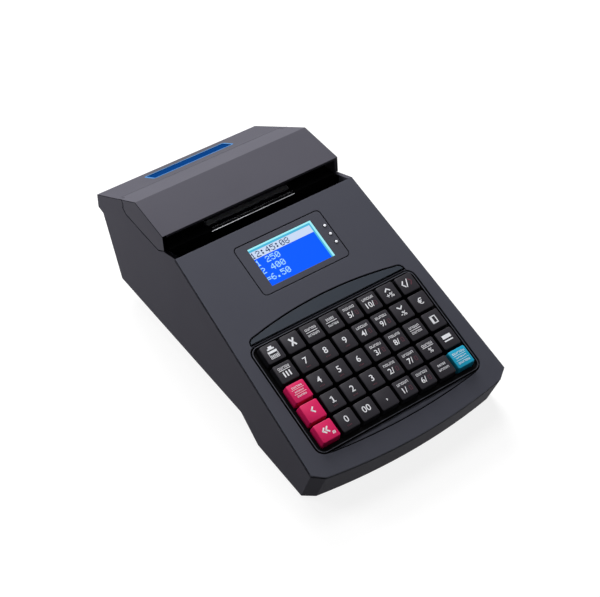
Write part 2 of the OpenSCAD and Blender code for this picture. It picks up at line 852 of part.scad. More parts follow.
// Board in the base with the sockets soldered to its rear edge
module main_board() {
    color("#1f6b3a") {
        difference() {
            translate([-board_half, board_front_y, board_z])
                cube([2 * board_half, socket_y - 3 - board_front_y, board_thickness]);
            for (x = [-1, 1]) for (y = standoff_places)
                translate([x * standoff_x, y, board_z - 1]) cylinder(r = 1.2, h = 5);
        }
        difference() {
            socket_block(power_socket);
            translate([power_socket[0], socket_y - jack_depth, socket_floor + power_socket[2] / 2])
                rotate([-90, 0, 0])
                cylinder(r = jack_radius, h = jack_depth + 2);
        }
        difference() {
            socket_block(drawer_socket);
            socket_hole(drawer_socket, 10, 8.2, 12);
        }
        difference() {
            socket_block(data_socket);
            socket_hole(data_socket, 8.6, 7.6, 10);
        }
    }
}

module socket_block(socket) {
    translate([socket[0] - socket[1] / 2, socket_y - socket[3], socket_floor - skin])
        cube([socket[1], socket[3], socket[2]]);
}

// Space for a plug, open at the rear
module socket_hole(socket, width, height, depth) {
    translate([socket[0] - width / 2, socket_y - depth, socket_floor + 1.6]) cube([width, depth + 2, height]);
}

// Windows in the rear wall, just round the sockets
module socket_openings() {
    for (socket = [power_socket, drawer_socket, data_socket])
        translate([socket[0] - socket[1] / 2 - fit, rear_foot_y - 8, socket_floor - fit])
            cube([socket[1] + 2 * fit, 40, socket[2] + 2 * fit]);
}

module battery_pack() {
    length = 70;
    y0 = battery_front_y + cell_radius;
    z0 = floor_z + floor_thickness + cell_radius;
    color("#2f5fa8") {
        for (y = [y0, y0 + 2 * cell_radius]) rod(cell_radius, -length / 2, length / 2, y, z0);
        translate([-length / 2, y0, z0 - cell_radius]) cube([length, 2 * cell_radius, 2 * cell_radius]);
    }
}

module feet() {
    color("#1a1a1b") for (side = [-1, 1]) {
        translate([side * (half_width(front_y) - 20), front_y + 24, 0]) cylinder(r = 6, h = foot_height);
        translate([side * (half_width(rear_y) - 20), plinth_rear_y - 9, 0]) cylinder(r = 6, h = foot_height);
    }
}

module case_screws() {
    color("#8b8e92") for (place = screw_places)
        translate([place[0] * boss_x(place[1]), place[1], screw_seat(place[1])]) {
            translate([0, 0, 0.1]) cylinder(r = screw_head_radius, h = screw_head_height);
            translate([0, 0, 0.1]) cylinder(r = screw_radius, h = floor_thickness + screw_reach);
        }
}

// Outline of a square with round corners, as a ring of points at one height
function key_ring(width, radius, z) = [
    for (corner = [0:3]) for (turn = [0, 45, 90])
        let (
            side = width / 2 - radius,
            place = [[1, 1], [-1, 1], [-1, -1], [1, -1]][corner] * side,
            angle = corner * 90 + turn
        )
        [place[0] + radius * cos(angle), place[1] + radius * sin(angle), z]
];

// Closed skin over a stack of rings
module ring_stack(rings) {
    n = len(rings[0]);
    polyhedron(
        points = [for (ring = rings) each ring],
        faces = concat(
            [[for (i = [0:n - 1]) i]],
            [[for (i = [n - 1:-1:0]) (len(rings) - 1) * n + i]],
            [for (k = [0:len(rings) - 2]) for (i = [0:n - 1]) let (j = (i + 1) % n)
                each [[k * n + i, (k + 1) * n + i, (k + 1) * n + j], [k * n + i, (k + 1) * n + j, k * n + j]]]
        ),
        convexity = 2
    );
}

// Key with a flange under the guide, a tapering body and a softened top edge
module key(row, column) {
    edge = 0.6;
    corner = 1.2;
    flange = key_pitch_y - 0.4;
    middle = key_top + 2 * edge - 0.1;
    tint = column == 0 && row < 3 ? "#d4336a" : column == key_columns - 1 && row == 0 ? "#35a2c4" : "#33343a";
    color(tint) on_deck() translate([key_x(column), key_v(row), 0]) ring_stack([
        key_ring(flange, 0.6, -flange_bottom),
        key_ring(flange, 0.6, -flange_top),
        key_ring(key_foot, corner, -flange_top),
        key_ring(middle, corner, key_height - edge),
        key_ring(key_top, corner - 0.3, key_height)
    ]);
}

main_case();
deck_panel();
base_plate();
printer_lid();
hinge_pin();
printer_frame();
print_head();
tear_bar();
platen_roller();
paper_roll();
display_bezel();
operator_display();
customer_display();
key_frame();
key_mat();
key_board();
main_board();
battery_pack();
feet();
case_screws();
for (row = [0:key_rows - 1]) for (column = [0:key_columns - 1])
    key(row, column);
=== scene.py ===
import math
import bmesh
import bpy
import numpy as np
from mathutils import Matrix, Vector


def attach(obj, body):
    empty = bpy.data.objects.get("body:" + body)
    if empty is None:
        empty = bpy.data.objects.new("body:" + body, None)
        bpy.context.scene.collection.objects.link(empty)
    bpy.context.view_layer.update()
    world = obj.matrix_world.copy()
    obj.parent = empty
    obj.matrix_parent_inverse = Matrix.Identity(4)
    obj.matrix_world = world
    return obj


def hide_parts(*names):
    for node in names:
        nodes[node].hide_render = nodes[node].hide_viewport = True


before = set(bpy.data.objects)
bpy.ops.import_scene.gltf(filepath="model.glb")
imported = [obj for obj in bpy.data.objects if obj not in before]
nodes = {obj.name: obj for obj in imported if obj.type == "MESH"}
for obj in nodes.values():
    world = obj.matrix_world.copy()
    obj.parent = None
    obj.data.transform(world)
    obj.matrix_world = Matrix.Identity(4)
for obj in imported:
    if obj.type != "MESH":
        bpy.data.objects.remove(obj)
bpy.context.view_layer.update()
mm = 0.001  # sizes and places below are in millimetres
print("frame loaded:", len(nodes), "pieces")

# the camera stands over the front left corner
cameraPlace = {"at": (-389.8, -544.2, 666.5), "right": (0.8088, -0.5881, 0.0), "up": (0.4038, 0.5554, 0.7269),
               "lens": 93.9, "sensor": 36, "nearest": 10, "farthest": 20000}

# the sloping deck rises from the register's front edge
deckPlace = {"y": -121.0, "z": 24.4, "tilt": 20.7}

# the slope behind the head falls from the lid's rear edge
rearSlope = {"y": 92.5, "z": 77.109, "tilt": -29.7}


def stackPlaces(x, y, z):
    # three arrays of any matching shape become one array of places
    return np.stack(np.broadcast_arrays(x, y, z), -1).astype(float)


def onSlope(p, x, v, n):
    # v runs back along the slope and n out of it, both turned about the slope's first edge by its tilt
    a = math.radians(p["tilt"])
    v, n = np.asarray(v, float), np.asarray(n, float)
    y = p["y"] + v * math.cos(a) - n * math.sin(a)
    z = p["z"] + v * math.sin(a) + n * math.cos(a)
    return stackPlaces(x, y, z) * mm


def onDeck(x, v, n):
    # deck measures: v from the front edge, n out of the deck
    return onSlope(deckPlace, x, v, n)


def onRearSlope(x, v, n):
    # rear slope measures: v from the lid's rear edge, n out of the slope
    return onSlope(rearSlope, x, v, n)


def addObject(name, data):
    # a new object at the origin, linked to the scene
    item = bpy.data.objects.new(name, data)
    bpy.context.scene.collection.objects.link(item)
    return item


def makeCamera(p):
    # the columns of the camera's matrix are its right, its up, their cross product and its place
    data = bpy.data.cameras.new("camera")
    data.sensor_width, data.lens = p["sensor"], p["lens"]
    data.clip_start, data.clip_end = p["nearest"] * mm, p["farthest"] * mm
    camera = addObject("camera", data)
    rows = np.eye(4)
    rows[:3, 0], rows[:3, 1] = p["right"], p["up"]
    rows[:3, 2] = np.cross(p["right"], p["up"])
    rows[:3, 3] = np.array(p["at"]) * mm
    camera.matrix_world = Matrix(rows.tolist())
    bpy.context.scene.camera = camera


makeCamera(cameraPlace)
print("camera placed")


def hexColour(code):
    # each sRGB byte through the standard curve to linear light
    value = np.array([int(code[i:i + 2], 16) for i in (1, 3, 5)]) / 255
    linear = np.where(value <= 0.04045, value / 12.92, ((value + 0.055) / 1.055) ** 2.4)
    return (*linear.tolist(), 1.0)


def addNode(tree, kind, settings=None, links=None):
    # a setting goes to the input of its name or number, and otherwise to the node's own property
    node = tree.nodes.new(kind)
    for key, value in (settings or {}).items():
        if isinstance(key, int) or key in node.inputs:
            node.inputs[key].default_value = value
        else:
            setattr(node, key, value)
    for key, socket in (links or {}).items():
        tree.links.new(socket, node.inputs[key])
    return node


def newMaterial(name):
    # a material with an empty node tree and its output
    material = bpy.data.materials.new(name)
    material.use_nodes = True
    tree = material.node_tree
    tree.nodes.clear()
    return material, tree, addNode(tree, "ShaderNodeOutputMaterial")


# what a surface has unless its own values say otherwise: plain plastic, with no eased edges and no glow
plainSurface = {"metallic": 0.0, "ior": 1.5, "shine": 0.5, "edge": 0.0, "edgeSamples": 6, "glow": 0.0,
                "cloudDetail": 3.0, "grainDetail": 2.0, "glossSpread": 0.05, "reliefStrength": 0.5}


def texturedSurface(own):
    # slow clouds mix two tones of the colour, and a fine grain shifts the roughness and raises the relief;
    # an edge is the radius to which the shading rounds the corners
    p = {**plainSurface, **own}
    material, tree, out = newMaterial(p["name"])
    place = {"Vector": addNode(tree, "ShaderNodeTexCoord").outputs["Object"]}
    clouds = addNode(tree, "ShaderNodeTexNoise",
                     {"Scale": 1 / (p["cloudSize"] * mm), "Detail": p["cloudDetail"]}, place)
    grain = addNode(tree, "ShaderNodeTexNoise",
                    {"Scale": 1 / (p["grainSize"] * mm), "Detail": p["grainDetail"]}, place)
    colour = addNode(tree, "ShaderNodeMixRGB",
                     {"Color1": hexColour(p["colour"]), "Color2": hexColour(p["shade"])},
                     {"Fac": clouds.outputs["Fac"]})
    middle, spread = p["roughness"], p["glossSpread"]
    gloss = addNode(tree, "ShaderNodeMapRange", {"To Min": middle - spread, "To Max": middle + spread},
                    {"Value": grain.outputs["Fac"]})
    relief = addNode(tree, "ShaderNodeBump",
                     {"Strength": p["reliefStrength"], "Distance": p["relief"] * mm},
                     {"Height": grain.outputs["Fac"]})
    if p["edge"]:
        edge = addNode(tree, "ShaderNodeBevel", {"samples": p["edgeSamples"], "Radius": p["edge"] * mm})
        tree.links.new(edge.outputs["Normal"], relief.inputs["Normal"])
    settings = {"Metallic": p["metallic"], "IOR": p["ior"], "Specular IOR Level": p["shine"]}
    if p["glow"]:
        settings.update({"Emission Color": hexColour(p["lit"]), "Emission Strength": p["glow"]})
    surface = addNode(tree, "ShaderNodeBsdfPrincipled", settings,
                      {"Base Color": colour.outputs["Color"], "Roughness": gloss.outputs["Result"],
                       "Normal": relief.outputs["Normal"]})
    tree.links.new(surface.outputs["BSDF"], out.inputs["Surface"])
    return material


# spark-eroded moulded ABS: the mould's fine texture breaks up every reflection, so it looks dull and even;
# the real grain is near 0.2 mm and is drawn at 0.5 mm so that it shows
sparkErodedAbs = {"cloudSize": 30, "grainSize": 0.5, "relief": 0.05, "roughness": 0.62, "edge": 0.5,
                  "ior": 1.53, "shine": 0.04}
# ABS moulded in black, for what sits below the surface: hardly any light comes back from it
blackAbs = {"cloudSize": 12, "grainSize": 0.5, "relief": 0.03, "roughness": 0.55, "edge": 0.3, "shine": 0.03}
# ABS from a satin mould: smoother than the housing, so it takes a soft sheen
satinAbs = {"cloudSize": 6, "grainSize": 0.35, "relief": 0.015, "roughness": 0.4, "ior": 1.53, "shine": 0.12}
# pad-printed ink: a thin opaque film, a little rougher than the cap, so its colour looks flat
padPrint = {"cloudSize": 2, "grainSize": 0.3, "relief": 0.005, "roughness": 0.55}
# backlit liquid crystal panel: dark by itself, and it glows evenly in the colour that its filter lets through
backlitPanel = {"colour": "#05070c", "shade": "#040509", "cloudSize": 15, "grainSize": 1, "relief": 0.001,
                "roughness": 0.4, "shine": 0.03, "glow": 1.0}
# tinted cast acrylic over an unlit panel: a deep even blue without a hard reflection
tintedAcrylic = {"cloudSize": 20, "grainSize": 2, "relief": 0.001, "roughness": 0.35, "ior": 1.49,
                 "shine": 0.0}

finishes = {
    "case": {**sparkErodedAbs, "name": "sparkErodedAbsCase", "colour": "#3f3e46", "shade": "#3b3a42"},
    "deck": {**sparkErodedAbs, "name": "sparkErodedAbsDeck", "colour": "#494a53", "shade": "#45464f"},
    "lid": {**sparkErodedAbs, "name": "sparkErodedAbsLid", "colour": "#45444c", "shade": "#414048"},
    "base": {**sparkErodedAbs, "name": "mouldedAbsBase", "colour": "#1d1e21", "shade": "#191a1d"},
    "black": {**blackAbs, "name": "mouldedAbsBlack", "colour": "#060607", "shade": "#040405"},
    # painted shade: a matt black that stands for the shade deep in a joint, groove or recess, and it reflects
    # nothing
    "joint": {**blackAbs, "name": "paintedShadeBlack", "colour": "#040405", "shade": "#030304",
              "roughness": 0.9, "shine": 0.0},
    "strip": {**satinAbs, "name": "satinStripAbs", "colour": "#30363f", "shade": "#2c323b", "edge": 0.2},
    "bead": {**satinAbs, "name": "beadPaintedHighlight", "colour": "#50525b", "shade": "#4a4c55"},
    "keyDark": {**satinAbs, "name": "satinCapAbsDark", "colour": "#252329", "shade": "#211f25"},
    "keyRed": {**satinAbs, "name": "satinCapAbsRed", "colour": "#d41f5e", "shade": "#c81a57"},
    "keyBlue": {**satinAbs, "name": "satinCapAbsBlue", "colour": "#1f9fc2", "shade": "#1a96b8"},
    # painted shade: the side walls of a dark cap are drawn darker for the shade in the gaps between keys, and
    # rougher, with less shine
    "keySideShade": {**satinAbs, "name": "capSidePaintedShade", "colour": "#0e0e11", "shade": "#0b0b0e",
                "roughness": 0.6, "shine": 0.03},
    "ink": {**padPrint, "name": "padPrintWhite", "colour": "#e6e7ec", "shade": "#dcdde2"},
    "inkDim": {**padPrint, "name": "padPrintDim", "colour": "#5a333f", "shade": "#523038",
               "roughness": 0.6, "shine": 0.1},
    "screenBlue": {**backlitPanel, "name": "backlitPanelBlue", "lit": "#005cff"},
    "screenPale": {**backlitPanel, "name": "backlitPanelPale", "lit": "#ccdcf6"},
    "screenTeal": {**backlitPanel, "name": "backlitPanelTeal", "lit": "#4fb8dc"},
    "screenBright": {**backlitPanel, "name": "backlitGuideEdge", "lit": "#a6f2fa"},
    "screenInk": {**backlitPanel, "name": "backlitPanelDots", "lit": "#1a3768", "glow": 0.8},
    "screenText": {**backlitPanel, "name": "backlitPanelText", "lit": "#a4dcff"},
    "windowBlue": {**tintedAcrylic, "name": "tintedAcrylicBlue", "colour": "#072f63", "shade": "#062a59"},
    "windowWall": {**tintedAcrylic, "name": "tintedAcrylicWall", "colour": "#061c42", "shade": "#05183a",
                   "roughness": 0.5},
    # the same acrylic, drawn paler and softer along the edge
    "windowBevel": {**tintedAcrylic, "name": "paleAcrylicBevel", "colour": "#2b6496", "shade": "#265c8c",
                    "relief": 0.01, "roughness": 0.5, "shine": 0.05},
    # frosted moulded polycarbonate: milky, with a trace of its own light
    "lamp": {"name": "frostedLampLens", "colour": "#eceef2", "shade": "#e0e2e8", "cloudSize": 1,
             "grainSize": 0.3, "relief": 0.01, "roughness": 0.25, "lit": "#f4f6ff", "glow": 0.1},
    # bright rolled steel of tear bar, pin and screws: a clear but slightly spread reflection
    "steel": {"name": "brightRolledSteel", "colour": "#e8eaee", "shade": "#d8dade", "cloudSize": 5,
              "grainSize": 0.4, "relief": 0.01, "roughness": 0.3, "metallic": 1.0},
    # diecast alloy: grey, with a broad soft reflection
    "alloy": {"name": "diecastAlloy", "colour": "#a6a8ac", "shade": "#96989c", "cloudSize": 6,
              "grainSize": 0.5, "relief": 0.03, "roughness": 0.45, "metallic": 1.0},
    # gold-plated contact: a warm glint in a dark socket
    "gold": {"name": "goldPlatedContact", "colour": "#c9a450", "shade": "#bb9644", "cloudSize": 2,
             "grainSize": 0.3, "relief": 0.005, "roughness": 0.3, "metallic": 1.0},
    # moulded rubber: very rough, so it shows almost no highlight
    "rubber": {"name": "mouldedRubber", "colour": "#17171a", "shade": "#121214", "cloudSize": 8,
               "grainSize": 0.4, "relief": 0.03, "roughness": 0.8, "edge": 0.3, "shine": 0.05},
    # moulded silicone under the keys: grey and waxy
    "silicone": {"name": "mouldedSilicone", "colour": "#7c8086", "shade": "#70747a", "cloudSize": 8,
                 "grainSize": 0.5, "relief": 0.01, "roughness": 0.6},
    # coated thermal paper: warm white and matt
    "paper": {"name": "thermalPaper", "colour": "#f0f0ec", "shade": "#e9e9e4", "cloudSize": 10,
              "grainSize": 0.4, "relief": 0.02, "roughness": 0.75},
    # printed solder mask on a circuit board: green and fairly glossy
    "board": {"name": "solderMaskGreen", "colour": "#1d5e38", "shade": "#185230", "cloudSize": 10,
              "grainSize": 1, "relief": 0.01, "roughness": 0.4},
    # heat-shrunk sleeve round the cells: a smooth blue film
    "cells": {"name": "shrinkSleeveBlue", "colour": "#2a5596", "shade": "#244c88", "cloudSize": 14,
              "grainSize": 1, "relief": 0.02, "roughness": 0.35},
}
materials = {key: texturedSurface(values) for key, values in finishes.items()}

nodeFinish = {
    "main_case": "case", "deck_panel": "deck", "base_plate": "base", "printer_lid": "lid",
    "hinge_pin": "steel", "printer_frame": "black", "print_head": "alloy", "tear_bar": "steel",
    "platen_roller": "rubber", "paper_roll": "paper", "display_bezel": "deck",
    "operator_display": "black", "customer_display": "black",
    "key_frame": "black", "key_mat": "silicone", "key_board": "board", "main_board": "board",
    "battery_pack": "cells", "feet": "rubber", "case_screws": "steel",
}
for nodeName, finishName in nodeFinish.items():
    mesh = nodes[nodeName].data
    mesh.materials.clear()
    mesh.materials.append(materials[finishName])
print("materials ready:", len(materials))


def addPiece(name, points, faces, finish, body, sharpAngle=30, faceFinish=None):
    # places and faces become one object on its body, turned outwards, with a crease wherever two faces meet
    # at more than the angle; of several finishes, the last argument says which each face has
    mesh = bpy.data.meshes.new(name)
    mesh.from_pydata(np.asarray(points).reshape(-1, 3).tolist(), [], [list(map(int, f)) for f in faces])
    work = bmesh.new()
    work.from_mesh(mesh)
    bmesh.ops.recalc_face_normals(work, faces=work.faces)
    work.to_mesh(mesh)
    work.free()
    for f in (finish,) if isinstance(finish, str) else finish:
        mesh.materials.append(materials[f])
    if faceFinish is not None:
        mesh.polygons.foreach_set("material_index", np.asarray(faceFinish, np.int32))
    mesh.polygons.foreach_set("use_smooth", np.ones(len(mesh.polygons), bool))
    mesh.update()
    mesh.set_sharp_from_angle(angle=math.radians(sharpAngle))
    piece = addObject(name, mesh)
    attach(piece, body)
    return piece


def gridFaces(rings, around):
    # the four-sided faces between neighbouring rings, whose points are numbered ring after ring
    i = np.arange(rings - 1)[:, None] * around
    j = np.arange(around)[None, :]
    k = (j + 1) % around
    return np.stack([i + j, i + k, i + around + k, i + around + j], -1).reshape(-1, 4)


def closedRings(rings):
    # rings of points stacked from the bottom up, closed by one face at each end
    count, around = rings.shape[:2]
    faces = gridFaces(count, around).tolist()
    faces.append(list(range(around))[::-1])
    faces.append([(count - 1) * around + i for i in range(around)])
    return rings.reshape(-1, 3), faces


def roundOutline(halfX, halfY, corner, steps=6):
    # the outline of a rectangle whose corners are quarter circles, anticlockwise
    angle = (np.arange(4)[:, None] * 90 + np.linspace(0, 90, steps)[None, :]).ravel()
    sign = np.repeat([[1, 1], [-1, 1], [-1, -1], [1, -1]], steps, axis=0)
    turn = np.radians(angle)
    return sign * [halfX - corner, halfY - corner] + corner * np.stack([np.cos(turn), np.sin(turn)], -1)


def shrinkOutline(outline, inset):
    # each corner of an anticlockwise outline moves in along the bisector of its two sides
    along = np.roll(outline, -1, 0) - outline
    along /= np.linalg.norm(along, axis=1, keepdims=True)
    side = np.stack([-along[:, 1], along[:, 0]], -1)
    before = np.roll(side, 1, 0)
    return outline + inset * (side + before) / (1 + (side * before).sum(1, keepdims=True))


def band(name, outer, inner, low, high, place, finish, body):
    # a flat band between two outlines with as many points each: outer wall, top, inner wall and foot;
    # of two finishes, the second is for the inner wall
    levels = [(outer, low), (outer, high), (inner, high), (inner, low)]
    rings = np.stack([place(o[:, 0], o[:, 1], np.full(len(o), n)) for o, n in levels])
    faces = gridFaces(5, len(outer)) % (4 * len(outer))  # the fifth ring is the first again
    innerFinish = 0 if isinstance(finish, str) else 1
    walls = np.repeat([0, 0, innerFinish, 0], len(outer))
    addPiece(name, rings, faces, finish, body, faceFinish=walls)


# keycaps: a skirt under the guide frame, a body that tapers, and a rounded top edge
keyCap = {"columns": 8, "pitchX": 13.5, "pitchV": 13.35, "frontRow": 26.45, "redRows": 3, "height": 4.0,
          "flange": 6.475, "flangeTop": -4.3, "flangeBottom": -5.3, "foot": 6.15, "footStep": 0.02,
          "top": 5.4, "corner": 1.1, "cornerTaper": 0.35, "cornerLeast": 0.5, "edge": 0.55, "edgeRun": 0.6,
          "edgeSteps": 5}
keyNames = [
    ["key_clear", "key_0", "key_00", "key_comma", "key_group_1", "key_group_6", "key_subtotal", "key_total"],
    ["key_back", "key_1", "key_2", "key_3", "key_group_2", "key_group_7", "key_percent", "key_card"],
    ["key_cancel", "key_4", "key_5", "key_6", "key_group_3", "key_group_8", "key_function_c", "key_device"],
    ["key_menu", "key_7", "key_8", "key_9", "key_group_4", "key_group_9", "key_minus", "key_currency"],
    ["key_feed", "key_multiply", "key_function_a", "key_function_b", "key_group_5", "key_group_10",
     "key_plus", "key_arrows"],
]


def keyCentre(row, column):
    # columns stand evenly to both sides of the middle, and rows follow from the front one
    return ((column - (keyCap["columns"] - 1) / 2) * keyCap["pitchX"],
            keyCap["frontRow"] + row * keyCap["pitchV"])


def capRings(p):
    # half-width against height: flange, foot, taper, then a quarter ellipse over the top edge
    turn = np.radians(np.linspace(0, 90, p["edgeSteps"]))
    shoulder = p["top"] + p["edge"] * p["edgeRun"]
    edgeHalf = shoulder - (shoulder - p["top"]) * (1 - np.cos(turn))
    edgeHeight = p["height"] - p["edge"] * (1 - np.sin(turn))
    half = np.concatenate([[p["flange"], p["flange"], p["foot"], p["foot"] - p["footStep"]], edgeHalf])
    height = np.concatenate([[p["flangeBottom"], p["flangeTop"], p["flangeTop"], 0.0], edgeHeight])
    corner = np.clip(p["corner"] - (p["foot"] - half) * p["cornerTaper"], p["cornerLeast"], None)
    outline = np.stack([roundOutline(h, h, c) for h, c in zip(half, corner)])
    return outline[..., 0], outline[..., 1], height[:, None] * np.ones(outline.shape[1])


def makeKeys(p):
    # one set of rings, moved to each key's centre; the walls of a dark cap get a painted shade up to its top
    # edge
    x, v, n = capRings(p)
    for row, names in enumerate(keyNames):
        for column, name in enumerate(names):
            cx, cv = keyCentre(row, column)
            finish = "keyBlue" if name == "key_total" else "keyDark"
            if column == 0 and row < p["redRows"]:
                finish = "keyRed"
            points, faces = closedRings(onDeck(x + cx, v + cv, n))
            walls = np.zeros(len(faces), int)
            if finish == "keyDark":
                walls[:4 * x.shape[1]] = 1  # the four bands of faces below the top edge
            cap = addPiece("cap_" + name, points, faces, (finish, "keySideShade"), name, 40, walls)
            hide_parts(name)


makeKeys(keyCap)
print("keycaps made")

# printed marks: millimetres on the key top, x to the right and y up
markInk = {"low": -0.02, "high": 0.03, "digit": 5.5, "group": 4.9, "small": 4.0, "weight": 0.04,
           "blocks": 5, "blockGap": 0.4, "blockStroke": 0.24, "shortLabel": 12}


def boxMark(x0, y0, x1, y1):
    # the four corners of an upright rectangle, anticlockwise
    return np.array([[x0, y0], [x1, y0], [x1, y1], [x0, y1]], float)


def strokeMark(points, width):
    # each leg of a bent line, widened to both sides and run half a width past its ends
    marks = []
    for a, b in zip(points[:-1], points[1:]):
        a, b = np.array(a, float), np.array(b, float)
        along = (b - a) / np.linalg.norm(b - a) * width / 2
        side = np.array([-along[1], along[0]])
        marks.append(np.array([a - along - side, b + along - side, b + along + side, a - along + side]))
    return marks


def frameMark(x0, y0, x1, y1, width):
    # a stroke round all four sides of a rectangle
    return strokeMark([(x0, y0), (x1, y0), (x1, y1), (x0, y1), (x0, y0)], width)


def arrowMark(x, y, run, rise, width):
    # two legs that meet in a tip and end a run beside it, one rise above and one below
    return strokeMark([(x + run, y + rise), (x, y), (x + run, y - rise)], width)


def labelMark(y, width=7.2, height=1.4, seed=0):
    # a row of hollow blocks and pairs of bars in uneven widths, which stands for a printed label
    gap, stroke = markInk["blockGap"], markInk["blockStroke"]
    share = np.array([1.0, 0.8, 1.1, 0.9, 0.7, 1.0])[np.arange(markInk["blocks"]) + seed % 2]
    share = share / share.sum() * (width - gap * (markInk["blocks"] - 1))
    start = -width / 2 + np.concatenate([[0], np.cumsum(share[:-1] + gap)])
    low, high = y - height / 2, y + height / 2
    marks = []
    for k, (left, wide) in enumerate(zip(start, share)):
        right = left + wide
        marks += [boxMark(left, low, left + stroke, high), boxMark(right - stroke, low, right, high)]
        if (k + seed) % 3 != 1:
            marks.append(boxMark(left, high - stroke, right, high))
        if (k + seed) % 3 != 2:
            marks.append(boxMark(left, low, right, low + stroke))
    return marks


def ruleMark(y, width=7.4, stroke=0.34):
    # a level line across the middle
    return [boxMark(-width / 2, y - stroke / 2, width / 2, y + stroke / 2)]


def groupMarks(number):
    # a label over a number and a stroke, with a dim mark beside them; the text with ten stands further right
    shift = -1.0 if number < 10 else -0.7
    return {"flat": labelMark(2.9, 7.4, 1.5, number), "text": (str(number) + "/", "group", shift, -1.2),
            "dim": strokeMark([(2.2, -2.6), (2.2, -0.2), (3.6, -0.2), (3.6, -2.6), (2.2, -2.6)], 0.3)}


# for each key its flat marks, its text with size and place, and its dim marks
keyMarks = {
    "key_00": {"text": ("00", "digit", 0, 0.3)},
    "key_comma": {"text": (",", "digit", 0, -1.0)},
    "key_currency": {"text": ("€", "digit", 0, 0.3)},
    "key_multiply": {"flat": strokeMark([(-1.15, -1.7), (1.15, 2.1)], 1.05)
                     + strokeMark([(-1.15, 2.1), (1.15, -1.7)], 1.05)},
    "key_clear": {"flat": arrowMark(-2.3, 0.5, 1.4, 1.4, 0.9) + arrowMark(-0.3, 0.5, 1.4, 1.4, 0.9)
                  + frameMark(2.4, -3.1, 3.9, -1.9, 0.35) + [boxMark(2.7, -2.7, 3.6, -2.3)]},
    "key_back": {"flat": arrowMark(-0.7, 0.5, 1.4, 1.4, 0.9)},
    "key_cancel": {"flat": labelMark(3.1, 6.6, 1.0) + ruleMark(1.8, 7.8, 0.2) + labelMark(0.3, 5.6, 0.8, 1)
                   + ruleMark(-1.0, 7.8, 0.2) + labelMark(-2.5, 6.0, 1.0)},
    "key_total": {"flat": labelMark(3.2, 8.4, 1.1) + ruleMark(1.75, 8.6, 0.2) + labelMark(0.3, 7.0, 0.7, 1)
                  + ruleMark(-1.2, 8.6, 0.2) + labelMark(-2.9, 7.8, 1.2)},
    "key_subtotal": {"flat": labelMark(1.6, 5.2, 1.3) + labelMark(-1.1, 6.8, 1.3, 1)},
    "key_menu": {"flat": labelMark(2.9) + ruleMark(1.5)
                 + [boxMark(x - 0.42, -2.9, x + 0.42, 0.4) for x in (-1.9, 0.0, 1.9)]},
    "key_function_a": {"flat": labelMark(2.4) + ruleMark(0.6) + labelMark(-1.3, 7.2, 1.4, 1)},
    "key_function_b": {"flat": labelMark(2.2, 5.0, 1.6, 1) + ruleMark(0.5) + labelMark(-1.5, 6.6, 1.3)},
    "key_function_c": {"flat": labelMark(1.9, 6.8, 1.4, 1) + ruleMark(0.3) + labelMark(-1.4, 6.8, 1.4)},
    "key_percent": {"flat": labelMark(2.6) + ruleMark(1.2), "text": ("%", "small", 0.2, -1.4)},
    "key_plus": {"flat": strokeMark([(-1.5, 1.4), (0, 2.9), (1.5, 1.4)], 0.75),
                 "text": ("+%", "small", 0, -1.6)},
    "key_minus": {"flat": strokeMark([(-1.5, 2.9), (0, 1.4), (1.5, 2.9)], 0.75),
                  "text": ("-%", "small", 0, -1.6)},
    "key_arrows": {"flat": arrowMark(-3.4, 0.4, 1.4, 1.8, 0.7) + strokeMark([(-1.0, -1.8), (0.9, 2.6)], 0.6),
                   "dim": arrowMark(3.3, 0.4, -1.4, 1.8, 0.7)},
    "key_device": {"flat": frameMark(-1.7, -2.0, 1.7, 2.4, 0.6) + [boxMark(-1.7, -2.0, -0.5, 2.4)]},
    "key_card": {"flat": [boxMark(-2.9, 0.2, 2.9, 2.5), boxMark(-2.9, -1.6, 2.9, -0.8)]},
    "key_feed": {"flat": [boxMark(-1.2, 2.7, 1.2, 4.0), boxMark(-2.2, 1.9, 2.2, 2.8),
                          boxMark(-2.9, -0.3, 2.9, 1.1)] + labelMark(-2.3, 4.4, 1.7)
                 + strokeMark([(-2.7, -0.6), (-2.7, -3.5), (2.7, -3.5), (2.7, -0.6)], 0.3)},
}
# each digit stands over the first strokes of a dim label, and the one is drawn as stem, foot and flag
for digit in range(10):
    keyMarks["key_%d" % digit] = {"text": (str(digit), "digit", 0, 0.6),
                                  "dim": labelMark(-3.3, 3.6, 0.9, digit)[:markInk["shortLabel"]]}
keyMarks["key_1"] = {"flat": [boxMark(-0.25, -1.5, 0.45, 2.5), boxMark(-1.1, -1.5, 1.4, -0.95)]
                     + strokeMark([(-0.95, 1.55), (0.1, 2.1)], 0.6), "dim": keyMarks["key_1"]["dim"]}
for number in range(1, 11):
    keyMarks["key_group_%d" % number] = groupMarks(number)


def textShape(text, size, weight):
    # the outline font's glyphs, thickened by the weight, as places in mm about their middle and faces;
    # like a slab, the text reaches half a unit below zero and half a unit above
    curve = bpy.data.curves.new("glyphs", "FONT")
    curve.body, curve.size, curve.resolution_u, curve.offset = text, size, 3, weight
    curve.align_x, curve.align_y = "CENTER", "CENTER"
    curve.extrude = 0.5
    holder = addObject("glyphs", curve)
    bpy.context.view_layer.update()
    slab = bpy.data.meshes.new_from_object(holder.evaluated_get(bpy.context.evaluated_depsgraph_get()))
    work = bmesh.new()
    work.from_mesh(slab)
    bmesh.ops.remove_doubles(work, verts=work.verts, dist=1e-4)
    places = np.array([v.co for v in work.verts], float)
    faces = [[v.index for v in f.verts] for f in work.faces]
    work.free()
    bpy.data.objects.remove(holder)
    bpy.data.meshes.remove(slab)
    middle = (places.min(0) + places.max(0)) / 2
    places[:, :2] -= middle[:2]
    return places, faces


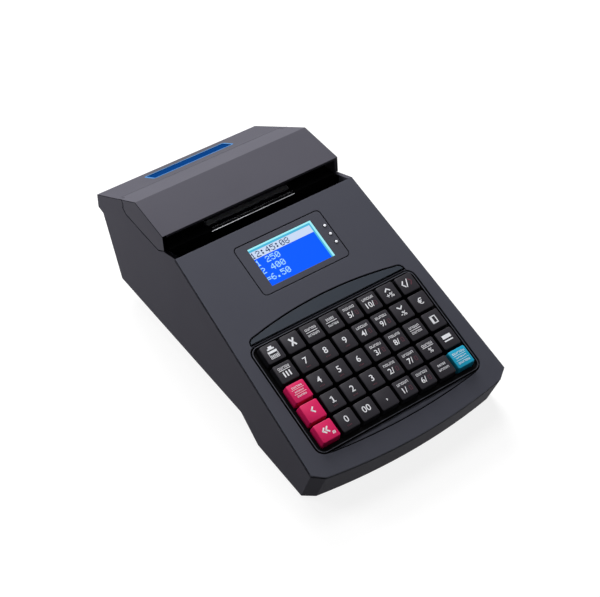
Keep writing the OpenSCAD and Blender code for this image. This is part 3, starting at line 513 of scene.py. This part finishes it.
def slabs(marks):
    # every four-cornered mark as a box, its foot half a unit below zero and its top half a unit above
    corners = np.array(marks, float)
    count = len(corners)
    low = np.concatenate([corners, np.full((count, 4, 1), -0.5)], -1)
    high = np.concatenate([corners, np.full((count, 4, 1), 0.5)], -1)
    places = np.concatenate([low, high], 1).reshape(-1, 3)
    box = np.array([[3, 2, 1, 0], [4, 5, 6, 7], [0, 1, 5, 4], [1, 2, 6, 5], [2, 3, 7, 6], [3, 0, 4, 7]])
    faces = (box[None] + 8 * np.arange(count)[:, None, None]).reshape(-1, 4)
    return places, faces.tolist()


def markShapes(marks, p):
    # the flat marks, the text and the dim marks of a key, each with the number of its ink
    shapes = []
    if "flat" in marks:
        shapes.append((*slabs(marks["flat"]), 0))
    if "text" in marks:
        text, size, x, y = marks["text"]
        places, faces = textShape(text, p[size], p["weight"])
        shapes.append((places + [x, y, 0], faces, 0))
    if "dim" in marks:
        shapes.append((*slabs(marks["dim"]), 1))
    return shapes


def makeMarks(p):
    # all marks of a key are one piece on its cap, with feet at the low ink level and tops at the high one
    for row, names in enumerate(keyNames):
        for column, name in enumerate(names):
            shapes = markShapes(keyMarks[name], p)
            faces, inks, start = [], [], 0
            for places, shapeFaces, ink in shapes:
                faces += [[i + start for i in face] for face in shapeFaces]
                inks += [ink] * len(shapeFaces)
                start += len(places)
            flat = np.concatenate([shape[0] for shape in shapes])
            cx, cv = keyCentre(row, column)
            n = keyCap["height"] + np.where(flat[:, 2] > 0, p["high"], p["low"])
            points = onDeck(flat[:, 0] + cx, flat[:, 1] + cv, n)
            addPiece("marks_" + name, points, faces, ("ink", "inkDim"), name, 20, inks)


makeMarks(markInk)
print("key marks made")


def inlay(name, outline, low, high, place, finish, body, edge=0.15):
    # a flat piece cut to an outline, with its top edge eased by a small slope
    outline = np.asarray(outline, float)
    middle = (outline.min(0) + outline.max(0)) / 2
    half = (outline.max(0) - outline.min(0)) / 2
    inner = middle + (outline - middle) * (1 - edge / half)
    levels = [(outline, low), (outline, high - edge), (inner, high)]
    rings = np.stack([place(o[:, 0], o[:, 1], np.full(len(o), h)) for o, h in levels])
    points, faces = closedRings(rings)
    addPiece(name, points, faces, finish, body)


# the strip behind the keys and the crescent in front of them, each let into its recess
strip = {"back": 89.3, "rise": 9.98, "radius": 255.0, "endX": 50.25, "endRadius": 4.15, "endTurn": 90,
         "endStep": 10, "arcEnd": 1, "arcPoints": 41, "foot": 0.6, "low": -0.79, "high": -0.15,
         "floor": -0.65, "gap": 0.8}
crescent = {"front": 15.9, "fall": 3.7, "half": 51.35, "radius": 390.0, "arcPoints": 41, "foot": 0.25,
            "low": -0.59, "high": -0.1, "floor": -0.45, "gap": 0.55}
recessFloor = {"edge": 0.05, "overlap": 0.01}


def sagitta(x, radius):
    # how far a circle has fallen away at a distance x from its crown
    return radius - np.sqrt(radius ** 2 - np.asarray(x, float) ** 2)


def stripOutline(p):
    # a shallow arc with round ends over a straight edge
    crown = p["back"] + p["rise"]
    turn = np.radians(np.arange(0, p["endTurn"], p["endStep"]))
    endV = crown - sagitta(p["endX"], p["radius"]) - p["endRadius"]
    right = np.stack([p["endX"] + p["endRadius"] * np.cos(turn), endV + p["endRadius"] * np.sin(turn)], -1)
    x = np.linspace(p["endX"] - p["arcEnd"], -p["endX"] + p["arcEnd"], p["arcPoints"])
    arc = np.stack([x, crown - sagitta(x, p["radius"])], -1)
    left = right[::-1] * [-1, 1]
    half, footV = p["endX"] + p["endRadius"], p["back"] + p["foot"]
    return np.concatenate([right, arc, left, [[-half, footV], [half, footV]]])


def crescentOutline(p):
    # a bowed lower edge that runs level with the register's front, under a straight one
    x = np.linspace(-p["half"], p["half"], p["arcPoints"])
    arc = np.stack([x, p["front"] - p["fall"] + sagitta(x, p["radius"])], -1)
    topV = p["front"] - p["foot"]
    return np.concatenate([arc, [[p["half"], topV], [-p["half"], topV]]])


def makeLetIn(name, outline, p, finish, f):
    # a black floor over the whole recess, which paints the shade in the groove round the trim, and on it the
    # trim, smaller by the gap all round
    inlay(name + "Floor", outline, p["low"], p["floor"], onDeck, "joint", "housing", f["edge"])
    trim, low = shrinkOutline(outline, p["gap"]), p["floor"] - f["overlap"]
    inlay(name, trim, low, p["high"], onDeck, finish, "housing")


makeLetIn("nameStrip", stripOutline(strip), strip, "strip", recessFloor)
makeLetIn("frontCrescent", crescentOutline(crescent), crescent, "deck", recessFloor)

# the bead moulded on the guide frame's rim, round the keys: paler than the frame, a painted highlight on the
# raised rim
keySurround = {"v": 52.6, "halfX": 57.8, "halfV": 36.7, "corner": 6.0, "cornerSteps": 9, "inset": 1.15,
               "width": 0.35, "low": -0.22, "high": -0.04}


def makeSurround(p):
    # the frame's rounded outline moved in by the inset, and again by the inset and the bead's width
    insets = (p["inset"], p["inset"] + p["width"])
    outlines = [roundOutline(p["halfX"] - i, p["halfV"] - i, p["corner"] - i, p["cornerSteps"]) for i in insets]
    outer, inner = (o + [0, p["v"]] for o in outlines)
    band("surroundBead", outer, inner, p["low"], p["high"], onDeck, "bead", "housing")


makeSurround(keySurround)
print("deck trim made")

# the operator's screen: a glowing panel under the bezel, in deck measures
screen = {"width": 44.4, "depth": 26.4, "v": 129.6, "level": -2.04, "thick": 0.05, "clearance": 0.05,
          "edge": 0.01, "header": 4.9, "headerTop": 1.7, "side": 1.3, "guide": 0.3, "guideTop": -0.2}
screenText = {"header": "12:45:08", "lines": ("1 250", "2 400", "=6.50"), "dot": 0.56, "left": 0.4,
              "headerDrop": 0.5, "lineDrop": 0.9, "linePitch": 5.6, "cell": 6, "low": -0.01, "high": 0.03}
# the characters that the screen shows, seven rows of five dots each
digitDots = {
    "0": "01110 10001 10011 10101 11001 10001 01110", "1": "00100 01100 00100 00100 00100 00100 01110",
    "2": "01110 10001 00001 00110 01000 10000 11111", "4": "00010 00110 01010 10010 11111 00010 00010",
    "5": "11111 10000 11110 00001 00001 10001 01110", "6": "00110 01000 10000 11110 10001 10001 01110",
    "8": "01110 10001 10001 01110 10001 10001 01110", ".": "00000 00000 00000 00000 00000 01100 01100",
    ":": "00000 01100 01100 00000 01100 01100 00000", "=": "00000 00000 11111 00000 11111 00000 00000",
}


def dotText(text, x, v, p):
    # every lit dot of every character becomes one small square
    marks = []
    for k, character in enumerate(text):
        if character == " ":
            continue
        lit = np.array([[int(c) for c in line] for line in digitDots[character].split()])
        for r, c in np.argwhere(lit):
            left, top = x + (k * p["cell"] + c) * p["dot"], v - r * p["dot"]
            marks.append(boxMark(left, top - p["dot"], left + p["dot"], top))
    return marks


def makeScreen(p, t):
    # plain rectangles side by side at one level, with the dots on them and two bright walls round them
    left, right = -p["width"] / 2 + p["clearance"], p["width"] / 2 - p["clearance"]
    bottom, top = p["v"] - p["depth"] / 2 + p["clearance"], p["v"] + p["depth"] / 2 - p["clearance"]
    headerTop = top - p["headerTop"]
    headerBottom = headerTop - p["header"]
    inside = right - p["side"]
    bands = {"screenPanel": (left, bottom, inside, headerBottom, "screenBlue"),
             "screenHeader": (left, headerBottom, inside, headerTop, "screenPale"),
             "screenTopBorder": (left, headerTop, right, top, "screenTeal"),
             "screenSideBorder": (inside, bottom, right, headerTop, "screenTeal")}
    low = p["level"] - p["thick"]
    for name, (*corners, finish) in bands.items():
        inlay(name, boxMark(*corners), low, p["level"], onDeck, finish, "housing", p["edge"])
    header = dotText(t["header"], left + t["left"], headerTop - t["headerDrop"], t)
    lines = []
    for k, line in enumerate(t["lines"]):
        lines += dotText(line, left + t["left"], headerBottom - t["lineDrop"] - k * t["linePitch"], t)
    for name, marks, finish in (("dotsInk", header, "screenInk"), ("dotsText", lines, "screenText")):
        flat, faces = slabs(marks)
        n = p["level"] + np.where(flat[:, 2] > 0, t["high"], t["low"])
        addPiece(name, onDeck(flat[:, 0], flat[:, 1], n), faces, finish, "housing", 20)
    # the two inner walls of the window that catch the backlight
    guides = {"screenGuideTop": (left, top - p["guide"], right, top),
              "screenGuideSide": (right - p["guide"], bottom, right, top - p["guide"])}
    for name, corners in guides.items():
        wall = boxMark(*corners)
        inlay(name, wall, p["level"], p["guideTop"], onDeck, "screenBright", "housing", p["edge"])


makeScreen(screen, screenText)
print("screen made")


def lathe(profile, place, steps):
    # a profile of (radius, distance) turned about an axis; place takes two across and one along
    profile = np.asarray(profile, float)
    turn = np.radians(np.arange(steps) * 360 / steps)
    a = profile[:, :1] * np.cos(turn)
    b = profile[:, :1] * np.sin(turn)
    return closedRings(place(a, b, profile[:, 1:] * np.ones(steps)))


# status lamps: small domes beside the screen
lamps = {"x": 28.0, "v": 129.6, "count": 3, "pitch": 6.05, "radius": 0.88, "low": -0.3, "side": 0.22,
         "rise": 0.35, "domeTurn": 84, "domeSteps": 7, "around": 24}


def makeLamps(p):
    # a straight side, then part of a quarter ellipse that stops short of the crown and leaves a small flat
    turn = np.radians(np.linspace(0, p["domeTurn"], p["domeSteps"]))
    dome = np.stack([p["radius"] * np.cos(turn), p["side"] + p["rise"] * np.sin(turn)], -1)
    profile = np.concatenate([[[p["radius"], p["low"]]], dome])
    for k in range(p["count"]):
        v = p["v"] + (k - (p["count"] - 1) / 2) * p["pitch"]
        points, faces = lathe(profile, lambda a, b, n: onDeck(p["x"] + a, v + b, n), p["around"])
        addPiece("statusLamp_%d" % (k + 1), points, faces, "lamp", "housing", 50)


makeLamps(lamps)
print("lamps made")

# the customer's window: a tinted plate and its pale bevel, let into the rear slope
window = {"v": 17.2, "width": 57.0, "depth": 13.5, "corner": 1.2, "gap": 0.1, "rim": 0.5, "frame": 0.8,
          "low": -2.55, "plate": -0.2, "plateEdge": 0.2, "bevel": 0.06, "bevelStep": 0.02, "frameLow": -0.05}


def makeWindow(p):
    # three outlines, each inside the last by one width: frame, bevel and plate
    outer = roundOutline(p["width"] / 2 - p["gap"], p["depth"] / 2 - p["gap"], p["corner"]) + [0, p["v"]]
    inner = shrinkOutline(outer, p["rim"])
    band("windowBevel", outer, inner, p["low"], p["bevel"] - p["bevelStep"], onRearSlope,
         ("windowBevel", "windowWall"), "housing")
    band("windowFrame", shrinkOutline(outer, -p["frame"]), outer, p["frameLow"], p["bevel"], onRearSlope,
         "windowBevel", "housing")
    inlay("customerWindow", inner, p["low"], p["plate"], onRearSlope, "windowBlue", "housing", p["plateEdge"])


makeWindow(window)
print("customer window made")

# the bright edge of the tear bar, where it comes through the black face below the lid
tearEdge = {"half": 29.2, "y": 37.74, "z": 74.8, "radius": 0.3, "endSteps": 4, "around": 16}


def makeTearEdge(p):
    # a slim rod along x with rounded ends, half sunk in the face
    turn = np.radians(np.linspace(0, 90, p["endSteps"]))
    end = np.stack([p["radius"] * np.sin(turn), -p["half"] - p["radius"] * np.cos(turn)], -1)
    profile = np.concatenate([end[1:], (end * [1, -1])[:0:-1]])
    points, faces = lathe(profile, lambda a, b, n: stackPlaces(n, p["y"] + a, p["z"] + b) * mm, p["around"])
    addPiece("tearEdge", points, faces, "steel", "housing", 50)


makeTearEdge(tearEdge)

# joints and trims on the side walls: the first measure runs from front to back, the second is the height
plan = {"frontHalf": 68.5, "taper": 0.04236}
headTrim = {"lip": (38.9, 86.3), "ridge": (69.9, 90.0), "hinge": (91.7, 77.57), "rearStart": (92.6, 77.05),
            "rear": (120.8, 60.97), "deckFront": (-110.6, 28.33), "deckBack": (25.3, 79.68),
            "mouth": (38.0, 75.6), "lidFoot": (38.0, 76.0), "proud": 0.05, "thick": 0.12,
            "wide": 0.55, "narrow": 0.3, "deckWide": 0.4, "seamWide": 0.45}
lidSeam = [(38.0, 76.0), (45.1, 71.55), (83.2, 71.55), (86.8, 74.5), (86.37, 75.18), (86.08, 76.1),
           (86.07, 77.07), (86.34, 78.0), (86.88, 78.81), (87.62, 79.43), (88.05, 79.65)]


def halfWidth(y):
    # the side walls draw in by the taper for every mm from the front
    return plan["frontHalf"] - plan["taper"] * (np.asarray(y, float) - deckPlace["y"])


def ribbon(path, width):
    # the outline of a band that lies below a path, or above it for a negative width
    path = np.array(path, float)
    along = np.diff(path, axis=0)
    along /= np.linalg.norm(along, axis=1, keepdims=True)
    side = np.stack([along[:, 1], -along[:, 0]], -1)
    before, after = np.concatenate([side[:1], side]), np.concatenate([side, side[-1:]])
    other = path + width * (before + after) / (1 + (before * after).sum(1, keepdims=True))
    return np.concatenate([path, other[::-1]])


def sidePlate(name, outline, side, proud, finish, body):
    # a thin plate whose outline is drawn on a side wall, moved out of it by the proud measure
    y, z = np.array(outline, float).T
    depths = (headTrim["thick"], 0)
    rings = np.stack([stackPlaces(side * (halfWidth(y) + proud - depth), y, z) for depth in depths]) * mm
    points, faces = closedRings(rings)
    addPiece(name, points, faces, finish, body, 20)


def makeSideJoints(p):
    # each joint is a black ribbon of painted shade along a straight line or the lid's seam, the same on both
    # walls
    joints = {"lidJoint_": ((p["lip"], p["ridge"]), p["wide"], "lid"),
              "lidRearJoint_": ((p["ridge"], p["hinge"]), p["narrow"], "lid"),
              "rearJoint_": ((p["rearStart"], p["rear"]), p["narrow"], "housing"),
              "deckJoint_": ((p["deckFront"], p["deckBack"]), p["deckWide"], "housing"),
              "lidSeam_": (lidSeam, -p["seamWide"], "lid")}
    for side, hand in ((-1, "left"), (1, "right")):
        for name, (path, width, body) in joints.items():
            sidePlate(name + hand, ribbon(path, width), side, p["proud"], "joint", body)


makeSideJoints(headTrim)

# the walls beside the mouth: painted shade makes the left one black on top, and the lid's end over it too;
# the right one shows its inner face, which has painted shade only at its end
mouthWalls = {"wall": 2.45, "out": 0.02, "topStart": 0.1, "topLow": -0.1, "topHigh": 0.06, "lidDrop": 0.1,
              "lidHalf": 0.1, "cheekEnd": 34.0, "cheekFoot": 66.0, "cheekGap": 0.35, "cheekInside": 2.5}


def wallTop(y):
    # the top of the mouth's walls is a straight line from the deck's rear edge to the mouth's end
    (y0, z0), (y1, z1) = headTrim["deckBack"], headTrim["mouth"]
    return z0 + (y - y0) * (z1 - z0) / (y1 - y0)


def leftWallStrip(name, y, z, section, body, p):
    # a four-cornered section, measured from the wall's outer face, carried from the first y and z to the last
    outer = halfWidth(y) + p["out"]
    rings = np.stack([stackPlaces(-outer + a, y + b, z + c) for a, b, c in section], 1)
    points, faces = closedRings(rings * mm)
    addPiece(name, points, faces, "joint", body, 20)


def makeMouthWalls(p, t):
    # two strips of painted shade along the left wall, and on the right one's inner face a plate and a
    # painted-shade end
    wall, low, high, half = p["wall"], p["topLow"], p["topHigh"], p["lidHalf"]
    y = np.array([t["deckBack"][0] + p["topStart"], t["mouth"][0]])
    section = [(0, 0, low), (0, 0, high), (wall, 0, high), (wall, 0, low)]
    leftWallStrip("mouthTopShade_left", y, wallTop(y), section, "housing", p)
    y = np.array([t["lidFoot"][0], t["lip"][0]])
    z = np.array([t["lidFoot"][1], t["lip"][1] - p["lidDrop"]])
    section = [(0, -half, 0), (wall, -half, 0), (wall, half, 0), (0, half, 0)]
    leftWallStrip("lidWallEndShade_left", y, z, section, "lid", p)
    for name, y0, y1, finish in (("mouthCheek", t["deckBack"][0] + p["cheekGap"], p["cheekEnd"], "deck"),
                                 ("mouthCheekEndShade", p["cheekEnd"], t["mouth"][0] - p["cheekGap"], "joint")):
        outline = [(y0, p["cheekFoot"]), (y1, p["cheekFoot"]), (y1, wallTop(y1)), (y0, wallTop(y0))]
        sidePlate(name, outline, 1, -p["cheekInside"], finish, "housing")


makeMouthWalls(mouthWalls, headTrim)
print("head trim made")

# shells, linings and contacts of the three rear sockets, drawn across and up on the face of each
rearFace = {"y": 98.7, "floor": 17.6, "plate": 0.1, "lining": 0.12, "liningShare": 0.9, "gap": 0.02,
            "shellCorner": 0.1, "end": 0.2, "endEdge": 0.01}
contacts = {"pitch": 1.02, "half": 0.2, "thick": 0.25, "drop": 0.1, "front": -2.0, "back": 0.5}
sockets = {
    "power": {"x": -32.0, "width": 9.5, "height": 11.0, "hole": (6.3, 6.3), "low": 2.35, "corner": 3.1,
              "depth": 9.0, "face": "black", "inside": "steel", "contacts": 0},
    "drawer": {"x": -12.0, "width": 15.0, "height": 13.0, "hole": (10.0, 8.2), "low": 1.6, "corner": 0.1,
               "depth": 12.0, "face": "black", "inside": "black", "contacts": 6},
    "data": {"x": 10.0, "width": 12.0, "height": 11.0, "hole": (8.6, 7.6), "low": 1.6, "corner": 0.1,
             "depth": 10.0, "face": "alloy", "inside": "alloy", "contacts": 4},
}


def onRearFace(x, z, n):
    # x across, z the height and n out of the sockets' faces, which stand upright
    return stackPlaces(x, rearFace["y"] + np.asarray(n, float), z) * mm


def makeContacts(name, p, top, c):
    # a row of flat bars under the top of the hole, evenly to both sides of its middle
    across = p["x"] + (np.arange(p["contacts"]) - (p["contacts"] - 1) / 2) * c["pitch"]
    flat, faces = slabs([boxMark(x - c["half"], top - c["thick"], x + c["half"], top) for x in across])
    n = np.where(flat[:, 2] > 0, c["front"], -p["depth"] + c["back"])
    addPiece(name, onRearFace(flat[:, 0], flat[:, 1], n), faces, "gold", "housing", 20)


def makeSocket(name, p, f):
    # a face plate round the hole, a thin lining down the hole's depth and a black end
    outer = (roundOutline(p["width"] / 2 - f["gap"], p["height"] / 2 - f["gap"], f["shellCorner"])
             + [p["x"], f["floor"] + p["height"] / 2])
    holeMiddle = f["floor"] + p["low"] + p["hole"][1] / 2
    hole = roundOutline(p["hole"][0] / 2, p["hole"][1] / 2, p["corner"]) + [p["x"], holeMiddle]
    inner = shrinkOutline(hole, min(f["lining"], p["corner"] * f["liningShare"]))
    back, front = -p["depth"] + f["gap"], -p["depth"] + f["end"]
    band(name + "SocketFace", outer, hole, 0.0, f["plate"], onRearFace, p["face"], "housing")
    band(name + "SocketLining", hole, inner, back, f["plate"] - f["gap"], onRearFace, p["inside"], "housing")
    inlay(name + "SocketEnd", inner, back, front, onRearFace, "black", "housing", f["endEdge"])
    if p["contacts"]:
        makeContacts(name + "SocketContacts", p, holeMiddle + p["hole"][1] / 2 - contacts["drop"], contacts)


for socketName, socket in sockets.items():
    makeSocket(socketName, socket, rearFace)
print("sockets made")

# cross recesses in the six screw heads under the base, each a black plate of painted shade on the face of its
# head
screwCross = {"places": ((59.57, -92.0, 2.1), (56.52, -20.0, 13.11), (52.07, 85.0, 10.16)), "arm": 1.7,
              "width": 0.75, "proud": 0.03, "deep": 0.1}


def makeScrewCrosses(p):
    # the twelve corners of a cross, worked out from the reach and width of its arms
    a, w = p["arm"], p["width"] / 2
    cross = np.array([(w, a), (-w, a), (-w, w), (-a, w), (-a, -w), (-w, -w),
                      (-w, -a), (w, -a), (w, -w), (a, -w), (a, w), (w, w)])
    for k, (x, y, z) in enumerate(p["places"]):
        for side, hand in ((-1, "left"), (1, "right")):
            outline = cross + [side * x, y]
            heights = (z - p["proud"], z + p["deep"])
            rings = np.stack([stackPlaces(outline[:, 0], outline[:, 1], h) for h in heights]) * mm
            points, faces = closedRings(rings)
            addPiece("screwCross_%d_%s" % (k + 1, hand), points, faces, "joint", "housing")


makeScrewCrosses(screwCross)
print("screw heads made")

# the floor's grey takes the shadow, its white is what the eye sees; the sky lights softly and shows white
stage = {"half": 6000, "floorGrey": 0.18, "floorWhite": 0.86, "skyLight": 0.06, "skyWhite": 1.0}


def directRays(tree):
    # 1 for rays from the camera, from a reflection or through glass, and 0 for those that carry light
    rays = addNode(tree, "ShaderNodeLightPath").outputs
    seen = addNode(tree, "ShaderNodeMath", {"operation": "MAXIMUM"},
                   {0: rays["Is Camera Ray"], 1: rays["Is Glossy Ray"]})
    seen = addNode(tree, "ShaderNodeMath", {"operation": "MAXIMUM"},
                   {0: seen.outputs[0], 1: rays["Is Transmission Ray"]})
    return seen.outputs[0]


def makeFloor(p):
    # one wide square whose matt grey and white glow add up
    material, tree, out = newMaterial("paleFloor")
    grey = p["floorGrey"]
    lift = addNode(tree, "ShaderNodeMath", {"operation": "MULTIPLY", 1: p["floorWhite"]},
                   {0: directRays(tree)})
    matt = addNode(tree, "ShaderNodeBsdfDiffuse", {"Color": (grey, grey, grey, 1)})
    glow = addNode(tree, "ShaderNodeEmission", {"Color": (1, 1, 1, 1)}, {"Strength": lift.outputs[0]})
    both = addNode(tree, "ShaderNodeAddShader", None, {0: matt.outputs[0], 1: glow.outputs[0]})
    tree.links.new(both.outputs[0], out.inputs["Surface"])
    half = p["half"] * mm
    corners = [(-half, -half, 0), (half, -half, 0), (half, half, 0), (-half, half, 0)]
    mesh = bpy.data.meshes.new("floor")
    mesh.from_pydata(corners, [], [(0, 1, 2, 3)])
    mesh.materials.append(material)
    floor = addObject("floor", mesh)


def makeSky(p):
    # a white world, faint for the light that it gives and full where it is seen
    world = bpy.data.worlds.new("studio")
    bpy.context.scene.world = world
    world.use_nodes = True
    tree = world.node_tree
    tree.nodes.clear()
    strength = addNode(tree, "ShaderNodeMapRange", {"To Min": p["skyLight"], "To Max": p["skyWhite"]},
                       {"Value": directRays(tree)})
    sky = addNode(tree, "ShaderNodeBackground", {"Color": (1, 1, 1, 1)}, {"Strength": strength.outputs[0]})
    addNode(tree, "ShaderNodeOutputWorld", None, {"Surface": sky.outputs[0]})


makeFloor(stage)
makeSky(stage)

# three round softboxes; their power is in watts
softboxAim = (0, 20, 50)
softboxes = {"softboxBehind": {"at": (300, 750, 620), "size": 600, "power": 12.5},
             "softboxAbove": {"at": (100, 250, 1000), "size": 600, "power": 6.5},
             "softboxLeft": {"at": (-360, 260, 260), "size": 250, "power": 1.4}}


def makeSoftbox(name, p):
    # a disk that faces along the line from its place to the aim
    data = bpy.data.lights.new(name, "AREA")
    data.shape, data.size, data.energy = "DISK", p["size"] * mm, p["power"]
    softbox = addObject(name, data)
    softbox.location = Vector(p["at"]) * mm
    softbox.rotation_mode = "QUATERNION"
    softbox.rotation_quaternion = (Vector(softboxAim) - Vector(p["at"])).to_track_quat("-Z", "Y")


for softboxName, softbox in softboxes.items():
    makeSoftbox(softboxName, softbox)
view = bpy.context.scene.view_settings
view.view_transform = "Standard"
print("stage and softboxes ready")
